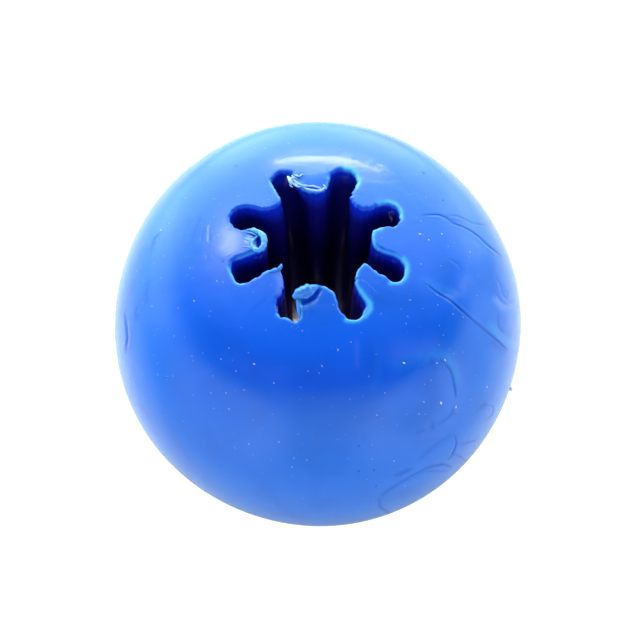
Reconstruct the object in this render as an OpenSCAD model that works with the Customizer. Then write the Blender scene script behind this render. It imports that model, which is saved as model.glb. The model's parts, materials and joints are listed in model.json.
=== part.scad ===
// Treat dispensing ball: one solid moulding of natural rubber with a bore right
// through it. Eight rubber teeth stand into the bore and grip a treat between them.
// The bore runs along Z and the origin is the centre of the ball.

/* [Ball] */
// Diameter of the ball
ball_d = 76; // [60:1:90]
// Height of the cap that each flat land takes off the ball
land_drop = 5.6; // [3:0.2:8]
// Radius that blends each flat land into the round of the ball
land_blend_r = 12; // [6:0.5:14]

/* [Bore] */
// Number of slots, which is also the number of teeth
slot_count = 8; // [6:1:9]
// Diameter of the circle that the tips of the teeth touch
tooth_circle_d = 16.2; // [15:0.1:18]
// Width of each slot
slot_w = 4; // [3.4:0.1:4.4]
// Distance across the round ends of two opposite slots
slot_span = 28.2; // [26:0.1:30]

/* [Finish] */
// Smoothness of the round surfaces
facets = 96; // [32:8:160]

/* [Hidden] */

// Length that every cut runs past the face it opens
overrun = 1;

ball_r = ball_d / 2;
land_z = ball_r - land_drop;
land_to_land = 2 * land_z;
slot_r = slot_w / 2;

// Teeth stand on the X and Y axes and every pitch between them, and the slots half way
pitch = 360 / slot_count;
half_pitch = pitch / 2;

// A tooth ends in a half circle that runs tangent into the slots on both of its sides.
// tooth_at is how far its centre stands from the axis of the bore.
tooth_at = (tooth_circle_d / 2 - slot_r) / (1 - sin(half_pitch));
tooth_tip_r = tooth_at * sin(half_pitch) - slot_r;

// Each slot's straight walls run from the teeth to the centre of its round end
slot_from = tooth_at * cos(half_pitch);
slot_to = slot_span / 2 - slot_r;

// The blend is tangent to the land, above the first centre, and to the ball, along the
// line from the ball's centre through it
blend_z = land_z - land_blend_r;
blend_x = sqrt(pow(ball_r - land_blend_r, 2) - pow(blend_z, 2));
blend_angle = atan2(blend_z, blend_x);

// Half the profile of the solid ball, on the positive side of its axis
module ball_profile() {
    intersection() {
        circle(r = ball_r, $fn = facets);
        translate([0, -land_z])
            square([ball_r, land_to_land]);
        // Below the tangent line the round of the ball shows, and above it the blend
        union() {
            polygon([
                [0, 0],
                [ball_d * cos(blend_angle), ball_d * sin(blend_angle)],
                [ball_d, 0],
                [ball_d * cos(blend_angle), -ball_d * sin(blend_angle)]
            ]);
            for (side = [-1, 1])
                translate([blend_x, side * blend_z])
                    circle(r = land_blend_r, $fn = facets);
            translate([0, -land_z])
                square([blend_x, land_to_land]);
        }
    }
}

// Outline of the bore, seen along it: a core between the teeth and a slot between each pair
module bore_outline() {
    difference() {
        circle(r = tooth_at, $fn = slot_count);
        for (i = [0 : slot_count - 1])
            rotate(i * pitch)
                translate([tooth_at, 0])
                    circle(r = tooth_tip_r, $fn = facets);
    }
    for (i = [0 : slot_count - 1])
        rotate(half_pitch + i * pitch) {
            translate([0, -slot_r])
                square([slot_to, slot_w]);
            translate([slot_to, 0])
                circle(r = slot_r, $fn = facets);
        }
}

module ball_body() {
    color([0.10, 0.38, 0.88])
        difference() {
            rotate_extrude($fn = facets)
                ball_profile();
            translate([0, 0, -land_z - overrun])
                linear_extrude(height = land_to_land + 2 * overrun)
                    bore_outline();
        }
}

ball_body();
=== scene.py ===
# Treat dispensing ball of blue natural rubber, with a star shaped bore right through it.
import json
import math

import bmesh
import bpy
import numpy as np
from mathutils import Matrix, Vector, noise
from mathutils.bvhtree import BVHTree


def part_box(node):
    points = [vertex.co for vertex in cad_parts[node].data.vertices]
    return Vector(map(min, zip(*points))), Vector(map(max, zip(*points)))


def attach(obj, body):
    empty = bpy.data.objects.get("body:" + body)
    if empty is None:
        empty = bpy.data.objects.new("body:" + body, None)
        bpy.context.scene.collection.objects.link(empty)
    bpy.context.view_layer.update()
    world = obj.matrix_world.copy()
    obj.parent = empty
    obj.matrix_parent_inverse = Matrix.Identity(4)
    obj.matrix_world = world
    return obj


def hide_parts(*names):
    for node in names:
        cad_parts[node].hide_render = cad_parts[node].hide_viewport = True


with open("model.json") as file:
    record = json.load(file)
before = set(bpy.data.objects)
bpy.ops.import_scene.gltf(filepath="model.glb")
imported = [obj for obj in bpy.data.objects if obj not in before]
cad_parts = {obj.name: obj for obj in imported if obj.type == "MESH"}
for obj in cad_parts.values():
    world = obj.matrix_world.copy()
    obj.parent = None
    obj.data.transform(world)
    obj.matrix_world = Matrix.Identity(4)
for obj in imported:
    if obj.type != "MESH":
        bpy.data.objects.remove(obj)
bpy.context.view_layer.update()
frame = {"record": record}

# Camera. It looks down into the mouth from a little in front of it, under two ball diameters
# away, as the photograph does. The ball's own outline in the photograph sets the lens, and
# its place there sets the small shift.
MM = 0.001
PHOTO_SIZE = 640
OUTLINE_CENTRE = (317.7, 324.1)
OUTLINE_RADIUS = 202.8

CAMERA_RADII = 3.6
CAMERA_ELEVATION = math.radians(66.3)
CAMERA_AZIMUTH = math.radians(-1.5)
CAMERA_ROLL = math.radians(0.5)
SENSOR_WIDTH = 36
CLIP_START = 1 * MM

ball_low, ball_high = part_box("ball_body")
ball_radius = (ball_high.x - ball_low.x) / 2
camera_back = Vector((
    math.sin(CAMERA_AZIMUTH) * math.cos(CAMERA_ELEVATION),
    -math.cos(CAMERA_AZIMUTH) * math.cos(CAMERA_ELEVATION),
    math.sin(CAMERA_ELEVATION),
))
level_right = Vector((math.cos(CAMERA_AZIMUTH), math.sin(CAMERA_AZIMUTH), 0))
camera_right = Matrix.Rotation(CAMERA_ROLL, 3, camera_back) @ level_right
camera_up = camera_back.cross(camera_right)
camera_place = camera_back * CAMERA_RADII * ball_radius
focal_px = OUTLINE_RADIUS * math.sqrt(CAMERA_RADII ** 2 - 1)

camera_data = bpy.data.cameras.new("photo_camera")
camera_data.sensor_width = SENSOR_WIDTH
camera_data.lens = SENSOR_WIDTH * focal_px / PHOTO_SIZE
camera_data.shift_x = (PHOTO_SIZE / 2 - OUTLINE_CENTRE[0]) / PHOTO_SIZE
camera_data.shift_y = (OUTLINE_CENTRE[1] - PHOTO_SIZE / 2) / PHOTO_SIZE
camera_data.clip_start = CLIP_START
camera = bpy.data.objects.new("photo_camera", camera_data)
camera_turn = Matrix((camera_right, camera_up, camera_back)).transposed()
camera.matrix_world = Matrix.Translation(camera_place) @ camera_turn.to_4x4()
bpy.context.scene.collection.objects.link(camera)
bpy.context.scene.camera = camera

# Ball moulding. It is one piece of natural rubber, pressed hot in a two part mould round a
# star shaped core: a ball with a flat land round each mouth, and eight teeth in the bore.
# The core is pulled out while the rubber is soft, so both mouths keep a torn, uneven lip.
TOOTH_COUNT = 8
SLOT_WIDTH = 4.0 * MM
SLOT_SPAN = 28.2 * MM
LAND_CROWN = 0.16
LAND_BLEND = 2.4 * MM
LIP_RADIUS = 0.50 * MM
LIP_SPREAD = 0.25 * MM
LEAVE_LIP = 4.0 * MM
STAR_FADE = 2.5 * MM
TEAR_FROM = 0.8
TEAR_GROWTH = 1.5
TIP_STEPS = 10
WALL_STEPS = 16
END_STEPS = 16
SAME_PLACE = 1e-3 * MM

land_height = ball_high.z
core_radius = next(
    mount["dims"]["r_mm"] for mount in frame["record"]["mounts"] if mount["name"] == "treat_bore"
) * MM
slot_radius = SLOT_WIDTH / 2
pitch = 2 * math.pi / TOOTH_COUNT
tooth_at = (core_radius - slot_radius) / (1 - math.sin(pitch / 2))
tooth_radius = tooth_at * math.sin(pitch / 2) - slot_radius
slot_from = tooth_at * math.cos(pitch / 2)
slot_to = SLOT_SPAN / 2 - slot_radius

# Half a pitch of the bore's outline: half a tooth tip, a slot wall and half a slot end
outline = bmesh.new()
slot_way = Vector((math.cos(pitch / 2), math.sin(pitch / 2), 0))
tip = outline.verts.new((tooth_at - tooth_radius, 0, 0))
end = bmesh.ops.spin(
    outline, geom=[tip], cent=(tooth_at, 0, 0), axis=(0, 0, 1),
    angle=pitch / 2 - math.pi / 2, steps=TIP_STEPS,
)["geom_last"]
end = bmesh.ops.spin(
    outline, geom=end, cent=(0, 0, 0), axis=(0, 0, 1), angle=0,
    dvec=slot_way * (slot_to - slot_from) / WALL_STEPS, steps=WALL_STEPS,
)["geom_last"]
bmesh.ops.spin(
    outline, geom=end, cent=slot_way * slot_to, axis=(0, 0, 1), angle=math.pi / 2,
    steps=END_STEPS,
)
bmesh.ops.mirror(
    outline, geom=outline.verts[:] + outline.edges[:], merge_dist=SAME_PLACE, axis="Y"
)
one_pitch = outline.verts[:] + outline.edges[:]
for tooth in range(1, TOOTH_COUNT):
    copied = bmesh.ops.duplicate(outline, geom=one_pitch)["geom"]
    bmesh.ops.rotate(
        outline, verts=[g for g in copied if isinstance(g, bmesh.types.BMVert)],
        matrix=Matrix.Rotation(tooth * pitch, 3, "Z"),
    )
bmesh.ops.remove_doubles(outline, verts=outline.verts, dist=SAME_PLACE)

# The outline is a star seen from the bore's axis, so its points are counted by their angle
around = outline.verts.layers.int.new("around")
outline_points = sorted(outline.verts, key=lambda v: math.atan2(v.co.y, v.co.x) % (2 * math.pi))
for count, vert in enumerate(outline_points):
    vert[around] = count
edge = np.array([v.co[:2] for v in outline_points])
edge_ahead = np.roll(edge, -1, 0) - np.roll(edge, 1, 0)
edge_ahead /= np.linalg.norm(edge_ahead, axis=1)[:, None]
edge_out = np.stack([edge_ahead[:, 1], -edge_ahead[:, 0]], 1)
point_count = len(edge)
even_angle = np.arange(point_count) * 2 * math.pi / point_count

# Torn rim of the upper mouth as it lies in the photograph, one tooth and one slot at a time,
# anticlockwise from the far tooth
RIM_PX = (
    (322, 192), (315, 193), (308, 192), (303, 189.5), (298, 187), (293, 185), (289, 181),
    (289, 176), (291, 173), (285, 171.5), (279, 172), (274, 175), (271, 180), (273, 184),
    (276, 190), (279, 195), (281, 199), (281, 203), (279, 206), (275, 209), (268, 210.5),
    (262, 210.5), (256, 209), (250, 207.5), (244, 206.5), (238, 207), (232, 211), (230, 216),
    (230, 221), (233, 225), (238, 228.5), (243, 229.5), (248, 229), (252, 227.5), (256, 228.5),
    (260, 232), (263, 233), (266, 236), (267, 240), (267, 244), (265, 248), (261, 251),
    (255, 253), (249, 255), (243, 257.5), (237, 258.5), (233, 261), (231, 266), (231, 270),
    (233, 275), (235, 280), (239, 283), (244, 282), (249, 281), (252, 278), (258, 277),
    (262, 274), (265, 271), (269, 270), (273, 269.5), (276, 268), (279, 269), (281, 272),
    (283, 278), (284, 286), (283, 292), (279, 297), (277, 302), (277, 308), (279, 314),
    (281, 316.5), (284, 315.5), (288, 317), (291, 319), (295, 321), (299, 318), (300.5, 315),
    (299, 309), (297, 304), (296, 298), (298, 293), (301, 289.5), (305, 287), (309, 285.5),
    (314, 285), (318, 286), (323, 286), (328, 288), (332, 290), (335, 294), (337, 299),
    (338.5, 304), (339, 308), (341, 311.5), (345, 314), (348, 317.5), (351, 319.5), (355, 318.5),
    (360, 317.5), (362, 314), (364.5, 308), (366, 304), (364, 299), (360, 293), (357, 288),
    (355, 283), (355.5, 278), (357, 272), (360, 267), (364, 264.5), (368, 264.5), (371, 267),
    (374, 270), (379, 273), (384, 275), (388, 278), (391, 280.5), (396, 281.5), (401, 279.5),
    (404, 277), (405, 272), (405.5, 267), (403, 262), (399, 258.5), (394, 256), (388, 254),
    (382, 252.5), (377, 249.5), (374, 246), (372, 241), (371.5, 236), (373, 231), (377, 229),
    (382, 227.5), (386, 226), (391, 226.5), (396, 225.5), (399, 222.5), (400, 218), (399.5, 213),
    (397, 209), (392, 206), (387, 204.5), (382, 204.5), (377, 207), (372, 209.5), (367, 211),
    (362, 210.5), (357, 208), (353, 205), (350.5, 201), (350.5, 197), (352, 194), (353.5, 190),
    (355.5, 186), (357, 182), (357, 178), (355, 175), (351, 171.5), (346, 170), (340, 169.5),
    (335, 171), (331, 174), (330, 179), (329, 184), (327, 188), (325, 191),
)
RIM_DEPTH = 0.3 * MM
RIM_REACH = 1.7 * MM
RIM_FINENESS = 20
RIM_SMOOTHINGS = 2
ASIDE_COST = 3
TOO_FAR_COST = 1


# Way from the camera through a pixel of the photograph
def pixel_way(x, y):
    right = (x - OUTLINE_CENTRE[0]) / focal_px
    up = (OUTLINE_CENTRE[1] - y) / focal_px
    return (camera_right * right + camera_up * up - camera_back).normalized()


# Point at a height of the ball that a pixel shows
def on_level(x, y, height):
    way = pixel_way(x, y)
    return camera_place + way * (height - camera_place.z) / way.z


# How far the torn rim lies outside the core's outline, at each of its points
rim = np.array([on_level(x, y, land_height - RIM_DEPTH)[:2] for x, y in RIM_PX])
steps = np.linspace(0, len(rim), len(rim) * RIM_FINENESS, endpoint=False)
rim_line = np.column_stack([
    np.interp(steps, np.arange(len(rim) + 1), np.append(rim[:, k], rim[0, k])) for k in range(2)
])
upper_shift = np.zeros(point_count)
for count in range(point_count):
    gap = rim_line - edge[count]
    aside = np.abs(gap @ edge_ahead[count])
    outward = gap @ edge_out[count]
    too_far = np.abs(outward) > RIM_REACH
    cost = aside * ASIDE_COST + np.abs(outward) + np.where(too_far, TOO_FAR_COST, 0)
    upper_shift[count] = np.clip(outward[np.argmin(cost)], -RIM_REACH, RIM_REACH)
for _ in range(RIM_SMOOTHINGS):
    upper_shift = (np.roll(upper_shift, 1) + 2 * upper_shift + np.roll(upper_shift, -1)) / 4

RAG = 0.24 * MM
RAG_LENGTH = 0.55 * MM
upper_shift += [RAG * noise.noise(Vector((x, y, 0)) / RAG_LENGTH) for x, y in edge]

# The lower mouth is torn in the same way, but in other places
TEAR = 0.35 * MM
TEAR_LENGTH = 1.6 * MM
lower_shift = np.array([
    TEAR * noise.noise(Vector((x, y, TEAR)) / TEAR_LENGTH) for x, y in edge
])

# The core left the mould at a slant, so the lips on one side are rounder than on the other
lip_radius = LIP_RADIUS + LIP_SPREAD * edge_out[:, 1]


# Height of the moulding's outside at a distance from the bore's axis. The land is crowned a
# little and runs into the round of the ball without an edge.
def skin_height(reach):
    crown = land_height - LAND_CROWN * (reach ** 2 - core_radius ** 2) / ball_radius
    dome = np.sqrt(np.maximum(ball_radius ** 2 - reach ** 2, 0))
    share = np.clip(0.5 + 0.5 * (dome - crown) / LAND_BLEND, 0, 1)
    return dome + (crown - dome) * share - LAND_BLEND * share * (1 - share)


# A ring on the bore's wall, or turned out over the lip by an angle
def edge_ring(shift, share, angle):
    torn = shift * np.clip((share - TEAR_FROM) / (1 - TEAR_FROM), 0, 1) ** TEAR_GROWTH
    out = torn + lip_radius * (1 - math.cos(angle))
    place = edge + edge_out * out[:, None]
    top = skin_height(np.hypot(*place.T))
    height = (top - lip_radius) * share + lip_radius * math.sin(angle)
    return np.column_stack([place, height])


# A ring of evenly spaced points on the outside, or on its way there from the lip's star. Each
# point leaves the lip square to it and reaches the round ring straight outwards.
def skin_ring(shift, radius, share=1):
    lip = edge_ring(shift, 1, math.pi / 2)[:, :2]
    outward = np.column_stack([np.cos(even_angle), np.sin(even_angle)])
    ease = share ** 2 * (3 - 2 * share)
    leave = LEAVE_LIP * share * (1 - share) ** 2
    arrive = LEAVE_LIP * share ** 2 * (1 - share)
    place = lip * (1 - ease) + outward * radius * ease + edge_out * leave - outward * arrive
    return np.column_stack([place, skin_height(np.hypot(*place.T))])


# Rings from the middle of the bore up over the lip and land and down to the mould line
def half_rings(shift, wall_shares, lip_steps, land_steps, round_steps):
    rings = [edge_ring(shift, share, 0) for share in wall_shares]
    for k in range(lip_steps):
        rings.append(edge_ring(shift, 1, math.pi / 2 * (k + 1) / lip_steps))
    for k in range(land_steps):
        rings.append(skin_ring(shift, land_reach, (k + 1) / land_steps))
    land_angle = math.acos(land_reach / ball_radius)
    for k in range(1, round_steps):
        angle = land_angle * (1 - k / round_steps)
        rings.append(skin_ring(shift, ball_radius * math.cos(angle)))
    return rings


# The rings lie closer together towards the lips, and are finer on the upper half, which shows
WALL_SHARES = (0, 0.3, 0.5, 0.65, 0.76, 0.84, 0.9, 0.94, 0.965, 0.985, 1)
land_reach = SLOT_SPAN / 2 + STAR_FADE
fine_rings = half_rings(upper_shift, WALL_SHARES, lip_steps=5, land_steps=15, round_steps=38)
coarse_rings = half_rings(lower_shift, WALL_SHARES[::2], lip_steps=4, land_steps=5, round_steps=24)
mould_line = skin_ring(upper_shift, ball_radius)
lower_rings = [ring * [1, 1, -1] for ring in coarse_rings]
all_rings = np.array(fine_rings + [mould_line] + lower_rings[:0:-1])

# Each ring is extruded from the one before, and the last is joined back to the first
ball_mesh = outline
ring_edges = ball_mesh.edges[:]
for vert in ball_mesh.verts:
    vert.co = all_rings[0][vert[around]]
for ring in all_rings[1:]:
    grown = bmesh.ops.extrude_edge_only(ball_mesh, edges=ring_edges)["geom"]
    ring_edges = [g for g in grown if isinstance(g, bmesh.types.BMEdge) and g.is_boundary]
    for vert in (g for g in grown if isinstance(g, bmesh.types.BMVert)):
        vert.co = ring[vert[around]]
open_edges = [e for e in ball_mesh.edges if e.is_boundary]
bmesh.ops.bridge_loops(ball_mesh, edges=open_edges)
bmesh.ops.recalc_face_normals(ball_mesh, faces=ball_mesh.faces)

# Flow folds, where tongues of rubber met in the mould, drawn over the photograph. Each has its
# depth, half its width in pixels, and the share of the depth that stands up as a lip on its
# lower side, or on its upper side where the share is below zero.
FOLDS = (
    (0.16, 1.2, 0.5, ((423, 215), (439, 215), (446, 218), (454, 224), (463, 227), (471, 231))),
    (0.24, 1.3, 0.6, ((463, 227), (471, 231), (479, 237), (486, 244), (493, 250), (501, 256))),
    (0.10, 1.3, 0.4, ((446, 216), (457, 216), (464, 219), (474, 224), (486, 225), (492, 224))),
    (0.05, 1.5, 0.8, ((443, 261), (450, 259), (457, 264), (461, 270), (462, 279), (458, 288))),
    (0.06, 1.6, 0.9, ((440, 293), (453, 294), (461, 287), (466, 280))),
    (0.20, 1.2, -0.4, ((426, 284), (437, 293), (449, 300), (457, 307), (464, 313), (471, 319))),
    (0.26, 1.2, -0.6, ((464, 313), (471, 319), (480, 326), (489, 334), (497, 341), (507, 350))),
    (0.12, 1.2, 0.6, ((496, 293), (500, 301), (506, 305), (512, 301))),
    (0.12, 1.2, 0.5, ((496, 276), (500, 285), (502, 294), (506, 299), (508, 293), (505, 290))),
    (0.10, 1.4, -0.5, ((499, 313), (497, 320), (498, 327), (504, 334))),
    (0.14, 1.3, -0.7, ((396, 380), (406, 374), (420, 367), (429, 363), (436, 361), (442, 361))),
    (0.22, 1.2, -0.7, ((436, 361), (442, 361), (447, 366), (451, 371), (454, 383), (456, 397))),
    (0.16, 1.2, 0.6, ((454, 410), (450, 416), (444, 421), (436, 426), (424, 430), (411, 435))),
    (0.12, 1.2, 0.5, ((453, 433), (449, 437), (443, 440), (430, 449), (421, 458))),
    (0.16, 1.2, 0.6, ((394, 475), (400, 474), (405, 472), (411, 469))),
    (0.14, 1.2, 0.6, ((382, 496), (391, 488), (401, 482), (410, 476), (419, 472), (428, 467))),
    (0.20, 1.2, 0.5, ((426, 468), (434, 466), (443, 464), (451, 467))),
    (0.14, 1.2, 0.5, ((428, 471), (437, 471), (447, 471))),
    (0.20, 1.2, 0.5, ((455, 436), (456, 443), (454, 450), (449, 459))),
    (0.18, 1.2, 0.5, ((453, 454), (460, 457), (465, 460))),
    (0.12, 1.1, 0.5, ((461, 444), (466, 443), (471, 441), (476, 440))),
    (0.14, 1.2, 0.5, ((478, 410), (484, 404), (493, 407), (492, 415), (486, 419))),
    (0.20, 1.2, 0.5, ((379, 499), (380, 507), (387, 511), (391, 514))),
    (0.06, 1.3, 0.8, ((356, 421), (362, 419), (369, 420))),
    (0.06, 1.3, 0.8, ((347, 429), (356, 437), (367, 439), (378, 436))),
    (0.05, 1.5, 0.8, ((326, 474), (335, 472), (344, 474))),
    (0.06, 1.4, 0.8, ((203, 274), (204, 286), (210, 299), (219, 311), (229, 323), (240, 334))),
    (0.09, 1.0, 0.5, ((213, 213), (210, 222), (209, 236), (208, 250), (207, 264))),
    (0.09, 1.0, 0.5, ((201, 216), (196, 230), (191, 243))),
    (0.07, 1.0, 0.5, ((205, 222), (201, 240), (197, 257))),
    (0.07, 1.0, 0.5, ((191, 219), (187, 229), (184, 240))),
    (0.16, 1.2, 0.5, ((160, 233), (154, 240), (151, 250))),
    (0.12, 1.2, 0.5, ((149, 280), (147, 290), (147, 301))),
    (0.14, 1.2, 0.5, ((137, 306), (136, 313), (137, 320))),
    (0.22, 1.4, 0.6, ((125, 314), (127, 326), (128, 338), (126, 352))),
)
FOLD_MARGIN = 3.6
FOLD_DEPTH = 0.42 * MM
FOLD_NARROW = 0.8
FOLD_TAPER = 4
FOLD_CUTS = 3
BANK_SHARE = 0.6
BANK_AT = 2.2
BANK_WIDTH = 1.3

# Hollows beside the torn teeth, drawn in the same way, each with its depth in millimetres and
# half its width in pixels. All but the first and widest get finer faces, as the folds do.
DENTS = (
    (0.20, 7.5, ((300, 186), (312, 189), (324, 186))),
    (0.50, 3.2, ((258.5, 238), (259, 244.5))),
    (0.25, 2.6, ((251, 232), (258, 234.5))),
    (0.30, 3.0, ((318, 290), (314, 297), (308, 301), (303, 302.5))),
)

# The ball isn't quite round in the photograph's outline: at each angle there, anticlockwise
# from the right, it stands out by so many pixels over a width of so many degrees
SWELLS = (
    (6, 2.0, 16), (70, -0.3, 40), (135, 0.8, 16), (163, -1.3, 14), (203, 1.6, 24),
    (250, -1.8, 24), (300, 0.4, 20), (332, -0.8, 12),
)
PIXEL = ball_radius / OUTLINE_RADIUS
LAND_NEAR = 2 * MM
ROUND_BELOW = 0.5
SEATINGS = 6


# Pixels of the photograph in which places are seen
def seen_at(places):
    gap = places - np.array(camera_place)
    away = -gap @ np.array(camera_back)
    x = OUTLINE_CENTRE[0] + focal_px * (gap @ np.array(camera_right)) / away
    y = OUTLINE_CENTRE[1] - focal_px * (gap @ np.array(camera_up)) / away
    return np.column_stack([x, y])


# Distance of pixels from a drawn line, above zero on its lower or left side, and how far
# along the line they lie, from 0 to 1
def line_gap(pixels, line):
    line = np.array(line, float)
    lengths = np.hypot(*np.diff(line, axis=0).T)
    nearest = np.full(len(pixels), np.inf)
    side = np.ones(len(pixels))
    along = np.zeros(len(pixels))
    passed = 0
    for start, end, length in zip(line[:-1], line[1:], lengths):
        way = (end - start) / length
        from_start = pixels - start
        run = np.clip(from_start @ way, 0, length)
        gap = np.hypot(*(from_start - run[:, None] * way).T)
        nearer = gap < nearest
        nearest[nearer] = gap[nearer]
        side[nearer] = np.sign(way[0] * from_start[:, 1] - way[1] * from_start[:, 0])[nearer]
        along[nearer] = (passed + run[nearer]) / lengths.sum()
        passed += length
    return nearest * side, along


# Places of the ball's points, the pixels in which they are seen, and which of them lie on the
# outside and face the camera
def ball_points():
    ball_mesh.normal_update()
    place = np.array([v.co for v in ball_mesh.verts])
    normal = np.array([v.normal for v in ball_mesh.verts])
    facing = np.einsum("ij,ij->i", normal, np.array(camera_place) - place) > 0
    reach = np.hypot(place[:, 0], place[:, 1])
    outside = (reach > SLOT_SPAN / 2 + RIM_REACH) | (np.abs(place[:, 2]) > land_height - LAND_NEAR)
    return place, normal, seen_at(place), facing & outside


place, normal, pixel, shown = ball_points()
near_fold = np.zeros(len(place), bool)
for depth, half_width, lip, line in FOLDS:
    near_fold |= shown & (np.abs(line_gap(pixel, line)[0]) < FOLD_MARGIN)
for depth, half_width, line in DENTS[1:]:
    near_fold |= shown & (np.abs(line_gap(pixel, line)[0]) < 2 * half_width)
ball_mesh.verts.index_update()
fold_edges = [e for e in ball_mesh.edges if all(near_fold[v.index] for v in e.verts)]
cut = bmesh.ops.subdivide_edges(ball_mesh, edges=fold_edges, cuts=FOLD_CUTS, use_grid_fill=True)

# The finer faces' new points are set on the outside, straight out from the ball's centre. A
# few seatings bring those near the upper land to its height.
for vert in (g for g in cut["geom_inner"] if isinstance(g, bmesh.types.BMVert)):
    way = vert.co.normalized()
    away = ball_radius
    if way.z > ROUND_BELOW:
        for _ in range(SEATINGS):
            away = float(skin_height(away * math.hypot(way.x, way.y))) / way.z
    vert.co = way * away

# Folds and hollows are pressed in and swells pushed out along the ball's own normals
place, normal, pixel, shown = ball_points()
lift = np.zeros(len(place))
outer = np.hypot(place[:, 0], place[:, 1]) > land_reach
for depth, half_width, lip, line in FOLDS:
    gap, along = line_gap(pixel, line)
    gap = gap / half_width / FOLD_NARROW
    taper = np.clip(FOLD_TAPER * along, 0, 1) * np.clip(FOLD_TAPER * (1 - along), 0, 1)
    groove = -np.exp(-gap ** 2)
    from_bank = (gap - math.copysign(BANK_AT, lip)) / BANK_WIDTH
    bank = BANK_SHARE * abs(lip) * np.exp(-from_bank ** 2)
    lift += np.where(shown, (groove + bank) * depth * FOLD_DEPTH * taper, 0)
for depth, half_width, line in DENTS:
    gap, along = line_gap(pixel, line)
    lift -= np.where(shown, depth * MM * np.exp(-(gap / half_width) ** 2), 0)
for angle, height, width in SWELLS:
    angle = math.radians(angle)
    way = np.array(camera_right * math.cos(angle) + camera_up * math.sin(angle))
    apart = np.degrees(np.arccos(np.clip(place @ way / np.linalg.norm(place, axis=1), -1, 1)))
    swell = height * PIXEL * np.exp(-(apart / width) ** 2)
    lift += np.where(outer, swell, 0)
place = place + normal * lift[:, None]

# Marks that the material shows: painted light at the thin, milky rims of the torn mouth, as if it shone
# through the rubber; painted shade in the pits, the nick, under the lump and along some folds, and deeper
# blue patches; pale patches; and paler bands where one tongue of rubber flowed over another. Each is a line
# in the photograph with its strength and half its width in pixels.
THIN_DEPTH = 0.7 * MM
# Where the painted reflection of the pale floor lies in the two far slots
REFLECTION_FROM_Y = 11.5 * MM
REFLECTION_FROM_Z = -18 * MM
REFLECTION_FADE = 10 * MM
FOLD_MARK_GAIN = 3.2
FOLD_MARK_MOST = 0.7
FOLD_MARK_WIDTH = 1.1
# Painted light along the thin rims of the torn mouth, as if it shone through the rubber
THIN_RIM_GLOWS = (
    (1.0, 2.6, ((345, 168), (351, 169.5), (356, 174), (359, 180), (357, 186))),
    (0.9, 2.0, ((379, 203.5), (388, 201.5), (396, 204), (401, 210), (402, 219))),
    (0.9, 2.4, ((376, 249), (373.5, 243), (372.5, 236), (375, 230), (381, 228.5))),
    (0.8, 1.5, ((374, 246.5), (381, 250.5), (389, 253), (397, 255.5), (403, 260))),
    (1.0, 2.6, ((403, 259), (407, 265), (407, 272), (405, 278), (400, 282), (391, 283))),
    (0.9, 2.2, ((356, 275), (358, 268), (364, 263), (370, 264), (377, 271), (385, 274.5))),
    (0.8, 2.0, ((355, 270), (354.5, 280), (358, 287))),
    (1.0, 2.5, ((359, 289), (365, 297), (370, 303), (370.5, 309), (366, 315), (358, 320))),
    (0.9, 2.4, ((346, 320), (354, 321), (361, 318))),
    (0.9, 2.0, ((310, 284.5), (321, 285), (329, 287.5), (336, 293.5), (340, 303))),
    (1.0, 2.4, ((297.5, 298), (299, 306), (300, 317))),
    (0.8, 1.6, ((277, 315), (283, 317), (289, 319.5), (296, 322))),
    (0.8, 1.6, ((228, 268), (232, 276), (236, 283), (243, 284))),
    (0.6, 1.2, ((237, 259), (247, 255), (255, 252), (262, 251))),
    (0.8, 1.8, ((302, 189), (308, 191.5), (316, 192.5), (323, 190.5), (328, 186), (329, 178))),
    (1.0, 2.4, ((251, 228), (257, 231), (264, 235), (266, 240), (265, 247), (260, 251))),
    (0.9, 3.2, ((289, 178), (294, 181), (300, 184))),
    (0.7, 1.6, ((243, 281), (252, 278), (262, 273), (271, 269), (280, 267))),
    (0.5, 1.4, ((271, 180), (273, 186), (277, 193), (281, 200))),
)
# Painted shade: deep blue in the pits, the nick, under the lump and along some folds; the broad entries are
# deeper blue patches
SHADE_AND_TONE_MARKS = (
    (1.0, 3.4, ((258.5, 239), (258.5, 244))),
    (0.6, 2.4, ((251, 232), (258, 234.5))),
    (1.0, 3.6, ((303, 302), (308, 301), (313.5, 297), (317.5, 291))),
    (0.8, 3.2, ((309, 304), (311, 310))),
    (0.9, 1.0, ((366.5, 205), (368, 209.5))),
    (0.35, 2.0, ((287, 175), (293, 176), (298, 178))),
    (0.25, 8.0, ((372, 344), (373, 358), (370, 370))),
    (0.30, 10.0, ((488, 262), (490, 280), (494, 290))),
    (0.22, 9.0, ((447, 268), (448, 282), (446, 290))),
    (0.25, 3.0, ((450, 219), (460, 222))),
    (0.28, 12.0, ((430, 385), (436, 405), (425, 418), (410, 422))),
    (0.15, 14.0, ((300, 372), (303, 398), (302, 420))),
    (0.30, 12.0, ((384, 300), (398, 303), (412, 298))),
    (0.30, 3.0, ((494, 343), (504, 351))),
    (0.20, 3.0, ((131, 318), (133, 334), (130, 350))),
)
PALE_MARKS = (
    (1.0, 2.4, ((248.5, 240.5), (253, 242.5), (254, 246))),
    (0.6, 1.8, ((249, 237.5), (251, 239))),
    (0.5, 2.0, ((250, 230), (258, 233))),
    (0.03, 2.5, ((357, 341), (357, 367))),
    (0.12, 4.0, ((278, 275), (281, 284), (280, 294))),
    (0.035, 11.0, ((398, 350), (414, 349), (432, 346))),
    (0.012, 12.0, ((232, 362), (256, 372), (280, 376))),
    (0.07, 5.0, ((466, 280), (460, 292), (450, 297))),
    (0.15, 3.0, ((496, 300), (503, 308), (511, 306))),
)
FLOW_BANDS = (
    (0.09, 8.0, ((396, 364), (410, 358), (424, 355))),
    (0.18, 5.0, ((420, 357), (434, 354), (446, 356), (454, 365), (458, 380))),
    (0.30, 3.5, ((492, 326), (501, 337), (513, 345))),
    (0.05, 4.5, ((377, 346), (380, 358), (378, 372), (373, 386))),
    (0.12, 5.0, ((424, 280), (436, 287), (450, 292))),
)


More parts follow.
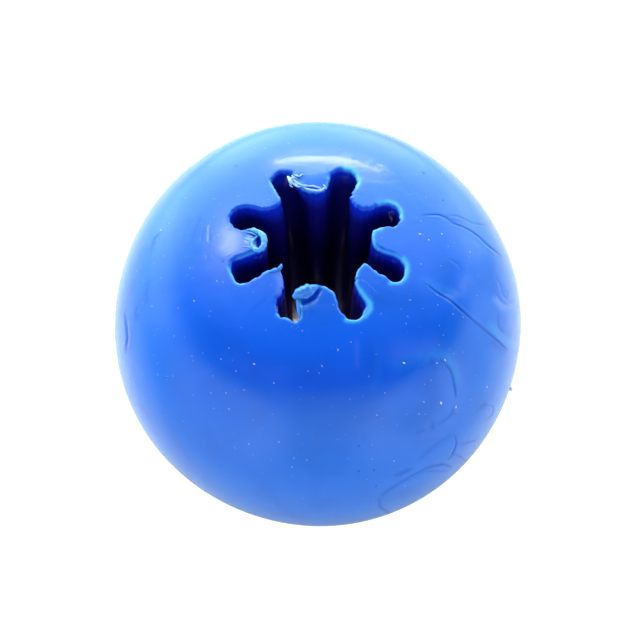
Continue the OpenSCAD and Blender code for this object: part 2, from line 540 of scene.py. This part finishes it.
# Strength with which marks show at each of the ball's points
def mark_strength(marks, where):
    strength = np.zeros(len(pixel))
    for most, half_width, line in marks:
        gap = np.abs(line_gap(pixel, line)[0]) / half_width
        strength = np.maximum(strength, most * np.exp(-gap ** 2))
    return np.where(where, strength, 0)


# The folds are marked with painted shade along their creases too, and a painted reflection of the pale floor
# lies low in the two far slots
fold_crease_shades = [
    (min(FOLD_MARK_GAIN * depth, FOLD_MARK_MOST), FOLD_MARK_WIDTH, line)
    for depth, half_width, lip, line in FOLDS
]
reach = np.hypot(place[:, 0], place[:, 1])
level = place[:, 2] + LAND_CROWN * (reach ** 2 - core_radius ** 2) / ball_radius
at_rim = shown & (level > land_height - THIN_DEPTH)
# Painted reflection: a warm pale grey low on the walls of the two far slots stands in for the pale floor
# mirrored there
in_far_slot = (reach < SLOT_SPAN / 2 + TEAR) & (place[:, 1] > REFLECTION_FROM_Y)
far_slot_reflection = np.clip((REFLECTION_FROM_Z - place[:, 2]) / REFLECTION_FADE, 0, 1)
marks_of_points = {
    "thin": np.maximum(mark_strength(THIN_RIM_GLOWS, at_rim), mark_strength(FLOW_BANDS, shown)),
    "deep": np.maximum(mark_strength(SHADE_AND_TONE_MARKS, shown), mark_strength(fold_crease_shades, shown)),
    "pale": mark_strength(PALE_MARKS, shown),
    "far_slot_reflection": np.where(in_far_slot, far_slot_reflection, 0),
}
for vert, where in zip(ball_mesh.verts, place):
    vert.co = where
for name, strengths in marks_of_points.items():
    layer = ball_mesh.verts.layers.float.new(name)
    for vert, strength in zip(ball_mesh.verts, strengths):
        vert[layer] = strength
skin_tree = BVHTree.FromBMesh(ball_mesh)

ball_data = bpy.data.meshes.new("moulded_ball")
ball_mesh.to_mesh(ball_data)
ball_mesh.free()
ball_data.shade_smooth()
ball = bpy.data.objects.new("moulded_ball", ball_data)
bpy.context.scene.collection.objects.link(ball)
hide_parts("ball_body")
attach(ball, "root")

# Rubber of the ball: strong blue right through, with a satin skin straight from the mould. Its colour turns
# greener where it is seen at a slant, which is a painted sheen. It is paler and milky at thin edges, which is
# painted light as if it shone through the rubber. Little light gets down the bore, so the colour is painted
# darker at the lips and further down the bore as shade.
FACE_BLUE = (0.0032, 0.040, 0.58, 1)
SLANT_SHEEN_BLUE = (0.010, 0.140, 0.60, 1)
LIP_SHADE_BLUE = (0.002, 0.020, 0.48, 1)
BORE_SHADE_BLUE = (0.005, 0.0045, 0.19, 1)
THIN_GLOW_AND_FLOW_BLUE = (0.05, 0.32, 0.70, 1)
DEEP_TONE_AND_SHADE_BLUE = (0.004, 0.018, 0.36, 1)
PALE_BLUE = (0.45, 0.56, 0.78, 1)
FAR_SLOT_REFLECTION_GREY = (0.56, 0.50, 0.50, 1)
UNDER_GREEN = (0.002, 0.100, 0.066, 1)
SKIN_ROUGHNESS = 0.22
BORE_ROUGHENING = 0.40
SKIN_GLOSS = 0.42
SKIN_COAT = 0.30
LIP_DULLING = 0.6
DEEP_DULLING = 0.9
UNDER_ROUGHNESS = 0.60
GRAIN_BEND = 0.6
CLOUD_FROM = 0.45
CLOUD_TO = 0.75
CLOUD_SHARE = 0.36
WAVE_HEIGHT = 0.07 * MM
GRAIN_HEIGHT = 0.016 * MM
LIP_FROM = 0.03 * MM
LIP_TO = 0.45 * MM
BORE_FROM = 0.5 * MM
BORE_TO = 5.0 * MM

rubber = bpy.data.materials.new("blue_rubber")
rubber.use_nodes = True
rubber_tree = rubber.node_tree
skin = rubber_tree.nodes["Principled BSDF"]


# What feeds the inputs of a node, each a value or the output of another node
def feed(tree, node, inputs):
    for name, fed in inputs.items():
        if isinstance(fed, bpy.types.NodeSocket):
            tree.links.new(fed, node.inputs[name])
        else:
            node.inputs[name].default_value = fed


# New node with its inputs fed
def add_node(tree, kind, inputs):
    node = tree.nodes.new(kind)
    feed(tree, node, inputs)
    return node


# Number that comes of an operation on other numbers
def number_of(tree, operation, *inputs):
    node = tree.nodes.new("ShaderNodeMath")
    node.operation = operation
    feed(tree, node, dict(enumerate(inputs)))
    return node.outputs[0]


# Value or vector that comes of an operation on places and ways
def vector_of(tree, operation, output, *inputs):
    node = tree.nodes.new("ShaderNodeVectorMath")
    node.operation = operation
    feed(tree, node, dict(enumerate(inputs)))
    return node.outputs[output]


# Number that runs from low to high while a value runs from start to end, evenly or softly
def ranged(tree, value, start, end, low=0, high=1, kind="LINEAR"):
    change = tree.nodes.new("ShaderNodeMapRange")
    change.interpolation_type = kind
    feed(tree, change, {
        "Value": value, "From Min": start, "From Max": end, "To Min": low, "To Max": high,
    })
    return change.outputs["Result"]


# How far down the bore a point lies, from 0 to 1: Lip is 1 just below the land, Deep further in
bore_group = bpy.data.node_groups.new("bore_depth", "ShaderNodeTree")
bore_out = bore_group.nodes.new("NodeGroupOutput")
bore_place = bore_group.nodes.new("ShaderNodeTexCoord").outputs["Object"]
bore_axes = add_node(bore_group, "ShaderNodeSeparateXYZ", {0: bore_place})
bore_flat = vector_of(bore_group, "MULTIPLY", "Vector", bore_place, (1, 1, 0))
bore_reach = vector_of(bore_group, "LENGTH", "Value", bore_flat)
bore_inside = number_of(bore_group, "LESS_THAN", bore_reach, SLOT_SPAN / 2 + RIM_REACH)
bore_level = number_of(
    bore_group, "MULTIPLY_ADD", number_of(bore_group, "POWER", bore_reach, 2),
    LAND_CROWN / ball_radius, number_of(bore_group, "ABSOLUTE", bore_axes.outputs["Z"]),
)
land_level = land_height + LAND_CROWN * core_radius ** 2 / ball_radius
for name, start, end in (("Lip", LIP_FROM, LIP_TO), ("Deep", BORE_FROM, BORE_TO)):
    bore_group.interface.new_socket(name, in_out="OUTPUT", socket_type="NodeSocketFloat")
    depth = ranged(bore_group, bore_level, land_level - start, land_level - end, kind="SMOOTHSTEP")
    feed(bore_group, bore_out, {name: number_of(bore_group, "MULTIPLY", bore_inside, depth)})

# Unevenness of the skin: soft waves, a fine grain, and clouds where the colour is deeper
grain_group = bpy.data.node_groups.new("skin_grain", "ShaderNodeTree")
grain_out = grain_group.nodes.new("NodeGroupOutput")
grain_place = grain_group.nodes.new("ShaderNodeTexCoord").outputs["Object"]
for name, length, detail in (
    ("Waves", 5.0 * MM, 2),
    ("Grain", 0.5 * MM, 3),
    ("Clouds", 9.0 * MM, 4),
):
    grain_group.interface.new_socket(name, in_out="OUTPUT", socket_type="NodeSocketFloat")
    unevenness = add_node(grain_group, "ShaderNodeTexNoise", {
        "Vector": grain_place, "Scale": 1 / length, "Detail": detail, "Distortion": GRAIN_BEND,
    })
    feed(grain_group, grain_out, {name: unevenness.outputs["Fac"]})


# Colour that runs from the first to the second, each a value or a socket, as the mask rises
def mixed(mask, first, second):
    mix = rubber_tree.nodes.new("ShaderNodeMix")
    mix.data_type = "RGBA"
    feed(rubber_tree, mix, {"Factor": mask, "A": first, "B": second})
    return mix.outputs["Result"]


# Strength of one kind of mark, which the mesh carries
def marked(name):
    mark = rubber_tree.nodes.new("ShaderNodeAttribute")
    mark.attribute_name = name
    return mark.outputs["Fac"]


# Value that starts at one number and changes as the mask rises
def changed_by(mask, start, change):
    return number_of(rubber_tree, "MULTIPLY_ADD", mask, change, start)


slant = add_node(rubber_tree, "ShaderNodeLayerWeight", {"Blend": 0.5})
bore_depth = rubber_tree.nodes.new("ShaderNodeGroup")
bore_depth.node_tree = bore_group
grain = rubber_tree.nodes.new("ShaderNodeGroup")
grain.node_tree = grain_group
clouds = ranged(rubber_tree, grain.outputs["Clouds"], CLOUD_FROM, CLOUD_TO, high=CLOUD_SHARE)
shade_and_tone_mark = marked("deep")
# Painted sheen: the colour runs from the face blue to a greener blue where the skin is seen at a slant
body_colour = mixed(slant.outputs["Facing"], FACE_BLUE, SLANT_SHEEN_BLUE)
for mask, colour in (
    # The clouds are the rubber's own deeper tone. The deep mark is painted shade in pits, fold creases, the
    # nick and under the lump, with deeper blue patches and the dark crumbs' own colour
    (clouds, DEEP_TONE_AND_SHADE_BLUE),
    (shade_and_tone_mark, DEEP_TONE_AND_SHADE_BLUE),
    (marked("pale"), PALE_BLUE),
    # Painted shade: darker blue at the lips where the land turns into the bore, and darker still further down
    # the bore
    (bore_depth.outputs["Lip"], LIP_SHADE_BLUE),
    # Painted light at the thin rims and torn bits, as if shining through the rubber, and the paler flow bands
    (marked("thin"), THIN_GLOW_AND_FLOW_BLUE),
    (bore_depth.outputs["Deep"], BORE_SHADE_BLUE),
    # Painted reflection of the pale floor, low in the two far slots
    (marked("far_slot_reflection"), FAR_SLOT_REFLECTION_GREY),
):
    body_colour = mixed(mask, body_colour, colour)

wave_bump = add_node(rubber_tree, "ShaderNodeBump", {
    "Height": grain.outputs["Waves"], "Distance": WAVE_HEIGHT,
})
grain_bump = add_node(rubber_tree, "ShaderNodeBump", {
    "Height": grain.outputs["Grain"], "Distance": GRAIN_HEIGHT, "Normal": wave_bump.outputs["Normal"],
})
feed(rubber_tree, skin, {
    "Base Color": body_colour,
    "Roughness": changed_by(bore_depth.outputs["Deep"], SKIN_ROUGHNESS, BORE_ROUGHENING),
    "Normal": grain_bump.outputs["Normal"],
    "Subsurface Weight": 0.15,
    "Subsurface Radius": (0.2, 0.6, 1.0),
    "Subsurface Scale": 1.2 * MM,
    "Coat Roughness": 0.07,
})

# Torn and folded places have lost the skin's polish, and the lips and the bore have less of it
polish = number_of(
    rubber_tree, "MINIMUM", changed_by(bore_depth.outputs["Lip"], 1, -LIP_DULLING),
    changed_by(bore_depth.outputs["Deep"], 1, -DEEP_DULLING),
)
for socket, on_land in (("Specular IOR Level", SKIN_GLOSS), ("Coat Weight", SKIN_COAT)):
    unfolded = changed_by(shade_and_tone_mark, on_land, -DEEP_DULLING * on_land)
    feed(rubber_tree, skin, {socket: number_of(rubber_tree, "MULTIPLY", unfolded, polish)})

# Light that the rubber throws on forwards from just below its skin is wide and bluish green
under_skin = add_node(rubber_tree, "ShaderNodeBsdfGlossy", {
    "Color": UNDER_GREEN, "Roughness": UNDER_ROUGHNESS, "Normal": wave_bump.outputs["Normal"],
})
whole_skin = add_node(rubber_tree, "ShaderNodeAddShader", {0: skin.outputs[0], 1: under_skin.outputs[0]})
bare = add_node(rubber_tree, "ShaderNodeMixShader", {
    0: bore_depth.outputs["Lip"], 1: whole_skin.outputs[0], 2: skin.outputs[0],
})
feed(rubber_tree, rubber_tree.nodes["Material Output"], {"Surface": bare.outputs[0]})
ball_data.materials.append(rubber)

# Torn rubber round the upper mouth. The core pulled strings, a curl and a lump out of the
# teeth, of the same rubber but thin enough to let light through. Each is drawn over the
# photograph as a path, with its height over the land and its radius in millimetres.
# Fine hairs are strewn among the strings, between these pixels, each tugged out of line
HAIR_COUNT = 12
HAIR_X = (290, 300)
HAIR_Y = (175, 186)
HAIR_TUG = (-0.8, 0.8)
HAIR_LIFT = (0.05, 0.3)
HAIR_RADIUS = (0.05, 0.09)
random_hairs = np.random.default_rng(3)
hairs = tuple(
    ((x - 2, y - 1, 0.0, 0.04), (x, y + tug, lift, radius), (x + 2, y + 1.5, 0.02, 0.03))
    for x, y, tug, lift, radius in zip(*[
        random_hairs.uniform(*bounds, HAIR_COUNT)
        for bounds in (HAIR_X, HAIR_Y, HAIR_TUG, HAIR_LIFT, HAIR_RADIUS)
    ])
)
STRANDS = {
    "torn_strings": (
        ((287.6, 176.5, 0.00, 0.10), (289.5, 179.5, 0.12, 0.30), (291.0, 182.5, 0.12, 0.30),
         (291.8, 185.5, 0.0, 0.06)),
        ((288.5, 176.5, 0.05, 0.05), (291.5, 178.5, 0.20, 0.13), (294.5, 180.0, 0.05, 0.06)),
        ((291.5, 175.5, 0.05, 0.05), (294.0, 177.5, 0.22, 0.14), (297.0, 178.5, 0.05, 0.05)),
        ((294.0, 174.5, 0.05, 0.05), (297.0, 176.2, 0.15, 0.12), (300.0, 176.5, 0.15, 0.11),
         (302.0, 174.0, 0.1, 0.10), (304.5, 175.5, 0.0, 0.04)),
        ((291.0, 180.0, 0.05, 0.05), (294.5, 180.5, 0.15, 0.14), (297.6, 183.5, 0.15, 0.16),
         (302.0, 185.5, 0.1, 0.14), (307.0, 185.8, 0.05, 0.13), (313.0, 186.0, 0.05, 0.15),
         (318.0, 187.3, 0.05, 0.13), (321.5, 188.8, 0.0, 0.06)),
        ((302.0, 186.5, 0.00, 0.06), (307.6, 189.2, 0.05, 0.15), (313.0, 190.3, 0.05, 0.16),
         (318.0, 190.6, 0.05, 0.16), (321.5, 190.4, 0.10, 0.15), (323.8, 188.2, 0.10, 0.13),
         (326.5, 187.6, 0.0, 0.06)),
        ((291.5, 182.0, 0.05, 0.05), (294.2, 184.6, 0.10, 0.14), (297.8, 187.0, 0.05, 0.13),
         (301.0, 186.4, 0.0, 0.05)),
        ((293.5, 182.5, 0.05, 0.05), (296.5, 184.5, 0.15, 0.12), (299.5, 187.5, 0.0, 0.05)),
        ((323.0, 184.0, 0.00, 0.05), (325.0, 186.2, 0.10, 0.12), (326.8, 188.8, 0.0, 0.05)),
    ) + hairs,
    "torn_curl": (
        ((247, 229.5, 0.00, 0.10), (253, 230, 0.15, 0.26), (259, 232, 0.25, 0.40), (263.5, 236, 0.3, 0.46),
         (264.5, 241, 0.30, 0.46), (263.5, 246.5, 0.25, 0.42), (259.5, 250, 0.20, 0.36),
         (255, 249.5, 0.15, 0.30), (252, 245.5, 0.15, 0.28), (253, 240, 0.15, 0.24), (257, 236.5, 0.2, 0.12)),
        ((246, 232, 0.00, 0.06), (252, 233, 0.10, 0.16), (258, 236, 0.05, 0.10)),
        ((244, 238, 0.00, 0.06), (249, 240, 0.10, 0.20), (252, 245, 0.08, 0.14)),
        ((243, 247, 0.00, 0.05), (249, 247, 0.08, 0.12), (254, 250, 0.05, 0.08)),
    ),
    "torn_lump": (
        ((293.5, 298, -0.1, 0.30), (297, 295, 0.05, 0.66), (302, 292, 0.1, 0.86), (308, 289.5, 0.1, 0.80),
         (313, 288, 0.05, 0.56), (318, 287.5, 0.0, 0.26)),
        ((301, 298, 0.0, 0.14), (306, 296, 0.10, 0.42), (311, 293, 0.12, 0.40), (316, 289.5, 0.0, 0.14)),
        ((297, 299, 0.0, 0.14), (298, 305, 0.0, 0.24), (298.5, 312, 0.0, 0.22), (299.5, 318, 0.0, 0.08)),
    ),
    "torn_spike": (
        ((268, 272, 0.0, 0.10), (274, 270.5, 0.05, 0.24), (279, 269, 0.05, 0.30), (281, 266.5, 0.1, 0.24),
         (281.5, 264, 0.15, 0.06)),
    ),
}
STRAND_SIDES = 10
STRAND_STEPS = 5
STRAND_RAG = 0.30
STRAND_RAG_LENGTH = 0.4 * MM
STRAND_TUG = 0.05 * MM
STRAND_TUG_LENGTH = 0.35 * MM
STRAND_SEED = 5
LAYINGS = 4
# The thin mark paints light on the torn bits, as if it shone through the thin rubber
STRAND_MARKS = {
    "torn_strings": {"thin": 0.35, "pale": 0.80},
    "torn_curl": {"thin": 0.65, "pale": 0.22},
    "torn_lump": {"thin": 0.28, "pale": 0.04},
    "torn_spike": {"thin": 0.35, "pale": 0.0},
}


# Point over the land that a pixel shows, so far above the skin there
def over_land(x, y, lift):
    spot = on_level(x, y, land_height)
    for _ in range(LAYINGS):
        spot = on_level(x, y, float(skin_height(math.hypot(spot.x, spot.y))) + lift * MM)
    return spot


# A strand is rings along its path, each joined to the one before
def add_strand(strand_mesh, path):
    places = [over_land(x, y, lift) for x, y, lift, radius in path]
    radii = [radius * MM for x, y, lift, radius in path]
    runs = np.linspace(0, len(path) - 1, STRAND_STEPS * (len(path) - 1) + 1)
    spine = np.column_stack([
        np.interp(runs, np.arange(len(path)), [spot[k] for spot in places]) for k in range(3)
    ])
    spine[1:-1] = (spine[:-2] + 2 * spine[1:-1] + spine[2:]) / 4
    girth = np.interp(runs, np.arange(len(path)), radii)
    last_edges = None
    for count, spot in enumerate(spine):
        ahead = Vector(spine[min(count + 1, len(spine) - 1)] - spine[max(count - 1, 0)])
        rag = 1 + STRAND_RAG * noise.noise(Vector(spot) / STRAND_RAG_LENGTH)
        is_end = count in (0, len(spine) - 1)
        ring = bmesh.ops.create_circle(
            strand_mesh, cap_ends=is_end, segments=STRAND_SIDES, radius=girth[count] * rag,
            matrix=Matrix.Translation(spot) @ ahead.to_track_quat("Z", "Y").to_matrix().to_4x4(),
        )["verts"]
        ring_set = set(ring)
        edges = {e for v in ring for e in v.link_edges if all(w in ring_set for w in e.verts)}
        if last_edges:
            bmesh.ops.bridge_loops(strand_mesh, edges=list(last_edges | edges))
        last_edges = edges


# Object of a separate bit of the ball's rubber, with the strength of its marks
def rubber_bit(name, bit_mesh, marks):
    for mark, strength in marks.items():
        layer = bit_mesh.verts.layers.float.new(mark)
        for vert in bit_mesh.verts:
            vert[layer] = strength
    bit_data = bpy.data.meshes.new(name)
    bit_mesh.to_mesh(bit_data)
    bit_mesh.free()
    bit_data.shade_smooth()
    bit_data.materials.append(rubber)
    bit = bpy.data.objects.new(name, bit_data)
    bpy.context.scene.collection.objects.link(bit)
    return bit


# The tug is a noise that starts from the clock unless it is given a seed
noise.seed_set(STRAND_SEED)
for name, paths in STRANDS.items():
    strand_mesh = bmesh.new()
    for path in paths:
        add_strand(strand_mesh, path)
    bmesh.ops.recalc_face_normals(strand_mesh, faces=strand_mesh.faces)
    for vert in strand_mesh.verts:
        vert.co += STRAND_TUG * noise.noise_vector(vert.co / STRAND_TUG_LENGTH)
    strand = rubber_bit(name, strand_mesh, STRAND_MARKS[name])
    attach(strand, "root")

# Specks on the skin: crumbs of pale rubber and lint that stick to it. The larger ones lie as
# in the photograph, and the finest are scattered all round. One more crumb stands on the
# outline at the right.
CRUMBS_PX = (
    (404, 363), (308, 371), (298, 434), (307, 460), (319, 373), (322, 366), (338, 350), (351, 342),
    (439, 345), (377, 415), (385, 393), (431, 380), (419, 414), (372, 445), (372, 459), (394, 461),
    (236, 371), (274, 383), (244, 390), (211, 393), (226, 393), (229, 348), (221, 359), (253, 420),
    (229, 409), (279, 442), (294, 458), (292, 467), (249, 444), (253, 455), (221, 442), (235, 448),
    (204, 443), (350, 399), (417, 174), (426, 197), (421, 221), (429, 240), (454, 243), (469, 257),
    (441, 266), (421, 264), (478, 276), (438, 305), (453, 314), (463, 317), (166, 211), (169, 223),
    (186, 198), (164, 256), (154, 263), (152, 306), (174, 336), (192, 356), (194, 301), (217, 281),
    (223, 282), (137, 271), (461, 209), (437, 363), (424, 402), (410, 300), (266, 330), (190, 268),
)
LARGE_CRUMBS_PX = (
    (441, 403, 0.26), (456, 407, 0.20), (487, 387, 0.20), (420, 234, 0.18), (161, 230, 0.20),
    (442, 234, 0.14), (470, 252, 0.14), (254, 364, 0.14), (404, 363, 0.18), (445, 360, 0.16),
)
DARK_CRUMBS_PX = (
    (443, 200), (424, 173), (236, 166), (376, 486), (359, 446), (359, 471), (374, 470), (475, 441),
)
NUB_PX = (511.4, 389.3)
NUB_RADIUS = 0.40 * MM
CRUMB_RADIUS = (0.06 * MM, 0.13 * MM)
CRUMB_STRETCH = (1.2, 2.2)
CRUMB_FLAT = 0.4
CRUMB_TURN = 0.5
LARGE_STRETCH = 1.4
FINE_CRUMBS = 1100
FINE_RADIUS = (0.03 * MM, 0.07 * MM)
FINE_STRETCH = 2.2
DARK_RADIUS = 0.16 * MM
DARK_FLAT = 0.5
DARK_STRETCH = 1.3
FLOW_FALL = 0.8
CRUMB_PALE = 0.9
random_crumbs = np.random.default_rng(7)


# Place and way out of the skin that a pixel shows, or nearest to it past the outline
def on_skin(x, y):
    way = pixel_way(x, y)
    spot, out, _, _ = skin_tree.ray_cast(camera_place, way)
    if spot is None:
        spot, out, _, _ = skin_tree.find_nearest(camera_place - way * way.dot(camera_place))
    return spot, out


# A crumb lies flat on the skin, and its length runs along the flow of the rubber, or so far
# turned from it
def add_crumb(crumb_mesh, spot, out, radius, flat, stretch, turn):
    side = out.cross(camera_right - FLOW_FALL * camera_up).normalized()
    lay = Matrix((side.cross(out), side, out)).transposed().to_4x4()
    lay = lay @ Matrix.Rotation(turn, 4, "Z")
    size = Matrix.Diagonal((radius * stretch, radius / stretch, radius * flat, 1))
    bmesh.ops.create_icosphere(
        crumb_mesh, subdivisions=1, radius=1, matrix=Matrix.Translation(spot) @ lay @ size
    )


crumb_mesh = bmesh.new()
for x, y in CRUMBS_PX:
    radius = random_crumbs.uniform(*CRUMB_RADIUS)
    stretch = random_crumbs.uniform(*CRUMB_STRETCH)
    turn = random_crumbs.normal(0, CRUMB_TURN)
    add_crumb(crumb_mesh, *on_skin(x, y), radius, CRUMB_FLAT, stretch, turn)
for x, y, radius in LARGE_CRUMBS_PX:
    turn = random_crumbs.normal(0, CRUMB_TURN)
    add_crumb(crumb_mesh, *on_skin(x, y), radius * MM, CRUMB_FLAT, LARGE_STRETCH, turn)
for _ in range(FINE_CRUMBS):
    way = Vector(random_crumbs.normal(size=3)).normalized()
    spot, out, _, _ = skin_tree.ray_cast(way * 2 * ball_radius, -way)
    radius = random_crumbs.uniform(*FINE_RADIUS)
    if spot is not None and spot.length > land_height:
        turn = random_crumbs.normal(0, CRUMB_TURN)
        add_crumb(crumb_mesh, spot, out, radius, CRUMB_FLAT, FINE_STRETCH, turn)
dark_crumb_mesh = bmesh.new()
for x, y in DARK_CRUMBS_PX:
    turn = random_crumbs.uniform(0, math.pi)
    add_crumb(dark_crumb_mesh, *on_skin(x, y), DARK_RADIUS, DARK_FLAT, DARK_STRETCH, turn)
nub_mesh = bmesh.new()
nub_way = pixel_way(*NUB_PX)
nub_spot = camera_place + nub_way * nub_way.dot(-camera_place)
nub_spot, nub_out, _, _ = skin_tree.find_nearest(nub_spot)
bmesh.ops.create_icosphere(
    nub_mesh, subdivisions=3, radius=NUB_RADIUS,
    matrix=Matrix.Translation(nub_spot + nub_out * NUB_RADIUS / 3),
)
for name, crumb_bmesh, marks in (
    ("pale_crumbs", crumb_mesh, {"pale": CRUMB_PALE}),
    ("dark_crumbs", dark_crumb_mesh, {"deep": 1.0}),
    ("outline_crumb", nub_mesh, {"pale": 1.0}),
):
    crumbs = rubber_bit(name, crumb_bmesh, marks)
    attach(crumbs, "root")

# Floor. A wide pale sheet that the ball stands on. To the camera it is almost white of its
# own, and it keeps a soft trace of the ball's shadow. What the ball itself is lit by and
# mirrors is a smaller sheet, shaded in front, that fades out into the studio.
FLOOR_SIZE = 3.0
FLOOR_GLOW = 0.84
FLOOR_SHADOW_SHARE = 0.28
SHEET_PALE = 0.58
SHEET_SHADED = 0.38
SHEET_FRONT = 60 * MM
SHEET_FROM = 80 * MM
SHEET_TO = 250 * MM
MOUTH_GLOW = 16.0
GLOW_WARM = (1, 0.82, 0.76, 1)
GLOW_SPOT = (5.0 * MM, 11.0 * MM)
GLOW_SPOT_RADIUS = 3.0 * MM
floor_mesh = bmesh.new()
bmesh.ops.create_grid(
    floor_mesh, x_segments=1, y_segments=1, size=FLOOR_SIZE / 2,
    matrix=Matrix.Translation((0, 0, -land_height)),
)
floor_data = bpy.data.meshes.new("pale_floor")
floor_mesh.to_mesh(floor_data)
floor_mesh.free()
floor = bpy.data.objects.new("pale_floor", floor_data)
bpy.context.scene.collection.objects.link(floor)

paper = bpy.data.materials.new("pale_paper")
paper.use_nodes = True
paper_tree = paper.node_tree
paper_tree.nodes.clear()
paper_out = paper_tree.nodes.new("ShaderNodeOutputMaterial")
paper_place = paper_tree.nodes.new("ShaderNodeTexCoord").outputs["Object"]
paper_axes = add_node(paper_tree, "ShaderNodeSeparateXYZ", {0: paper_place})
sheet_tone = ranged(paper_tree, paper_axes.outputs["Y"], -SHEET_FRONT, 0, SHEET_SHADED, SHEET_PALE)
sheet_reach = vector_of(paper_tree, "DISTANCE", "Value", paper_place, (0, 0, -land_height))
sheet_end = ranged(paper_tree, sheet_reach, SHEET_FROM, SHEET_TO)
sheet = add_node(paper_tree, "ShaderNodeBsdfDiffuse", {"Color": sheet_tone})

# Under the lower mouth four spots of the sheet glow, as if lit through, below the two far and
# the two near slots. The camera sees only the light that they throw up into the bore.
spot_place = vector_of(paper_tree, "ABSOLUTE", "Vector", paper_place)
spot_reach = vector_of(paper_tree, "DISTANCE", "Value", spot_place, (*GLOW_SPOT, land_height))
spot_glow = ranged(paper_tree, spot_reach, GLOW_SPOT_RADIUS, 0, 0, MOUTH_GLOW, "SMOOTHSTEP")
spots = add_node(paper_tree, "ShaderNodeEmission", {"Color": GLOW_WARM, "Strength": spot_glow})
lit_sheet = add_node(paper_tree, "ShaderNodeAddShader", {0: sheet.outputs[0], 1: spots.outputs[0]})
clear = paper_tree.nodes.new("ShaderNodeBsdfTransparent")
sheet_light = add_node(paper_tree, "ShaderNodeMixShader", {
    0: sheet_end, 1: lit_sheet.outputs[0], 2: clear.outputs[0],
})
shadowed = add_node(paper_tree, "ShaderNodeBsdfDiffuse", {
    "Color": (FLOOR_SHADOW_SHARE, FLOOR_SHADOW_SHARE, FLOOR_SHADOW_SHARE, 1),
})
glow = add_node(paper_tree, "ShaderNodeEmission", {"Strength": FLOOR_GLOW})
sheet_seen = add_node(paper_tree, "ShaderNodeAddShader", {0: shadowed.outputs[0], 1: glow.outputs[0]})


# What the camera sees, straight or through something clear, stands in for what lights the ball
def seen_by_camera(tree, lighting, seen):
    path = tree.nodes.new("ShaderNodeLightPath")
    either = number_of(
        tree, "MAXIMUM", path.outputs["Is Camera Ray"], path.outputs["Is Transmission Ray"]
    )
    return add_node(tree, "ShaderNodeMixShader", {0: either, 1: lighting, 2: seen}).outputs[0]


floor_look = seen_by_camera(paper_tree, sheet_light.outputs[0], sheet_seen.outputs[0])
feed(paper_tree, paper_out, {"Surface": floor_look})
floor_data.materials.append(paper)

# Lamps and surroundings. A wide softbox low behind the ball is the strongest lamp, with weaker
# ones high behind it, at both sides and in front, and a thin strip that the skin mirrors. The
# studio glows softly all round and is almost dark overhead, where the camera is.
def studio_way(turn, rise):
    turn = math.radians(turn)
    rise = math.radians(rise)
    return Vector((
        math.sin(turn) * math.cos(rise), math.cos(turn) * math.cos(rise), math.sin(rise)
    ))


# Each softbox has its name, its turn from straight behind the ball and its rise in degrees, its
# distance, width and height in metres, its radiance, and whether the skin mirrors it
SOFTBOXES = (
    ("window_softbox", -18, 9, 0.50, 0.85, 0.15, 11.0, False),
    ("high_softbox", -8, 40, 0.50, 0.30, 0.30, 5.8, False),
    ("strip_softbox", 4, 40, 0.45, 0.18, 0.019, 24.0, True),
    ("front_softbox", 180, 24, 0.50, 0.70, 0.42, 2.8, False),
    ("left_softbox", -72, 9, 0.50, 0.60, 0.30, 4.6, False),
    ("right_softbox", 72, 9, 0.50, 0.60, 0.30, 4.2, False),
)
for name, turn, rise, away, wide, tall, radiance, mirrored in SOFTBOXES:
    way = studio_way(turn, rise)
    lamp_data = bpy.data.lights.new(name, "AREA")
    lamp_data.shape = "RECTANGLE"
    lamp_data.size = wide
    lamp_data.size_y = tall
    lamp_data.energy = math.pi * wide * tall * radiance
    lamp = bpy.data.objects.new(name, lamp_data)
    lamp.location = way * away
    lamp.rotation_euler = way.to_track_quat("Z", "Y").to_euler()
    lamp.visible_glossy = mirrored
    bpy.context.scene.collection.objects.link(lamp)

# Each glow of the studio has its turn from straight behind the ball, its rise and its spread in
# degrees, and its strength. The two narrow ones make the bright spot at the left of the mouth.
GLOWS = (
    (0, 8, 38, 2.2), (-28.5, 52, 2.8, 17.0), (-32, 55, 2.8, 19.0), (180, 0, 60, 0.20),
    (180, 58, 34, 0.10), (-36, 44, 24, 0.8), (38, 43, 24, 0.7), (-35, 8, 38, 1.4),
    (35, 8, 38, 1.4), (-60, 8, 38, 0.8), (60, 8, 38, 0.60), (-90, 8, 38, 0.3),
    (105, -15, 38, 0.7), (-135, 0, 38, 1.0), (135, 0, 38, 0.96), (180, -8, 38, 0.36),
    (0, 42, 38, 0.95), (-38, 40, 38, 0.5), (42, 40, 38, 0.3),
)
world = bpy.data.worlds.new("pale_studio")
world.use_nodes = True
bpy.context.scene.world = world
world_tree = world.node_tree
world_tree.nodes.clear()
world_out = world_tree.nodes.new("ShaderNodeOutputWorld")
studio_place = world_tree.nodes.new("ShaderNodeTexCoord").outputs["Generated"]
studio_glow = 0
for turn, rise, spread, strength in GLOWS:
    toward = vector_of(world_tree, "DOT_PRODUCT", "Value", studio_place, studio_way(turn, rise))
    start = math.cos(math.radians(spread))
    end = math.cos(math.radians(spread / 3))
    glow = ranged(world_tree, toward, start, end, 0, strength, "SMOOTHSTEP")
    studio_glow = number_of(world_tree, "ADD", studio_glow, glow)
studio = add_node(world_tree, "ShaderNodeBackground", {"Strength": studio_glow})
backdrop = add_node(world_tree, "ShaderNodeBackground", {"Color": (1, 1, 1, 1), "Strength": 1})
studio_look = seen_by_camera(world_tree, studio.outputs[0], backdrop.outputs[0])
feed(world_tree, world_out, {"Surface": studio_look})

bpy.context.scene.view_settings.view_transform = "Standard"
